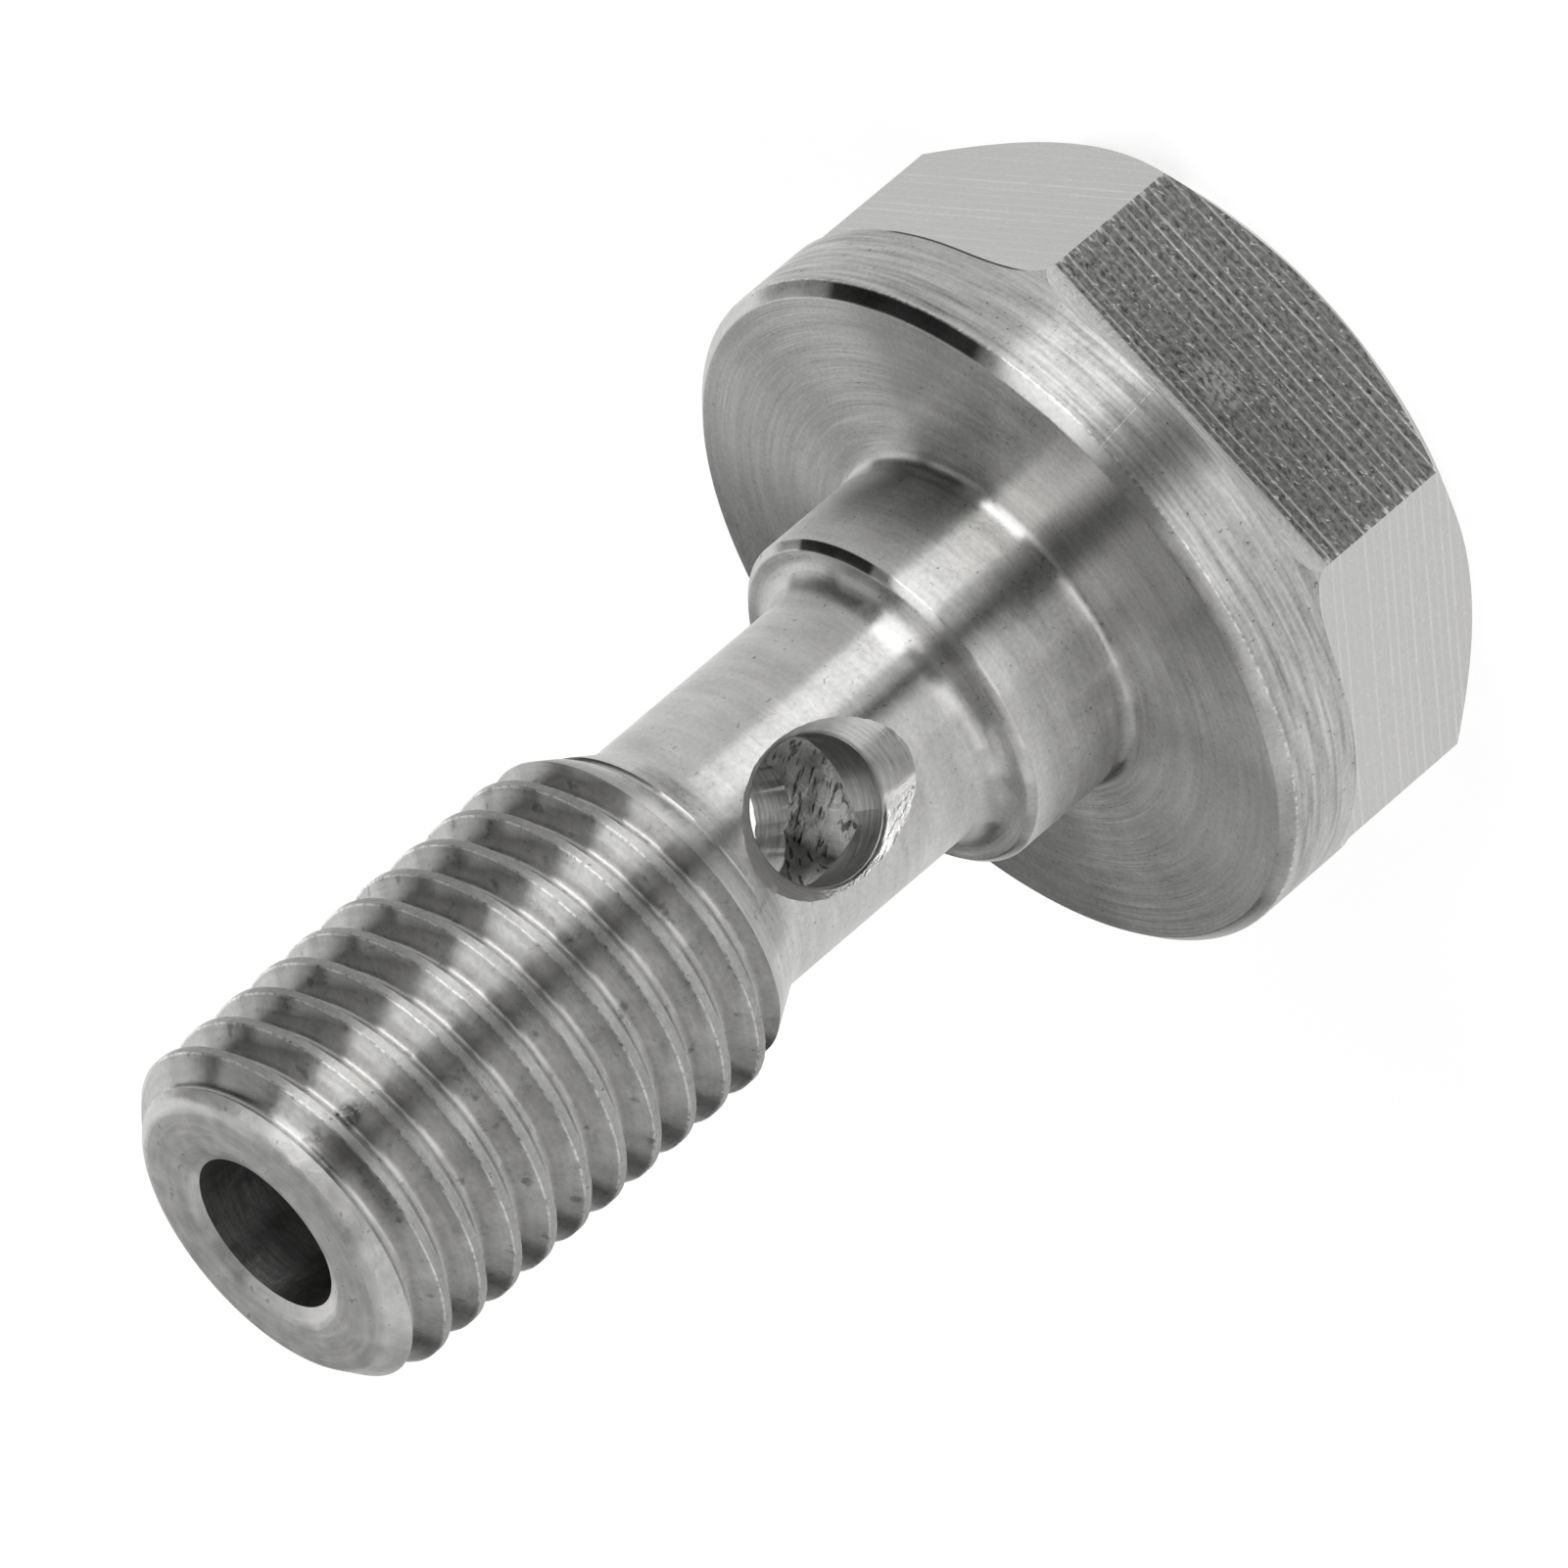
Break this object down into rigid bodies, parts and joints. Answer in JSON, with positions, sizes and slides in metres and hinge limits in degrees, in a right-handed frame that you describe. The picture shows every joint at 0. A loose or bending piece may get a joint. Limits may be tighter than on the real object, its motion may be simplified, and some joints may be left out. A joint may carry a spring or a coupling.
{
  "type": "banjo bolt",
  "caption": "Hexagon-head banjo bolt with a round flange, a threaded shank, a waisted neck and an oil way from the tip out through the neck.",
  "frame": {"origin": "centre of the sealing face under the head, on the bolt's axis", "axes": "+Z along the shank to the threaded tip; +X square to one flat of the hexagon"},
  "size_m": [0.0244, 0.0244, 0.0422],
  "materials": {
    "turned_steel": "bare stainless steel, turned and milled, with fine tool marks"
  },
  "bodies": {
    "root": {"banjo_bolt": "turned_steel"}
  },
  "joints": []
}
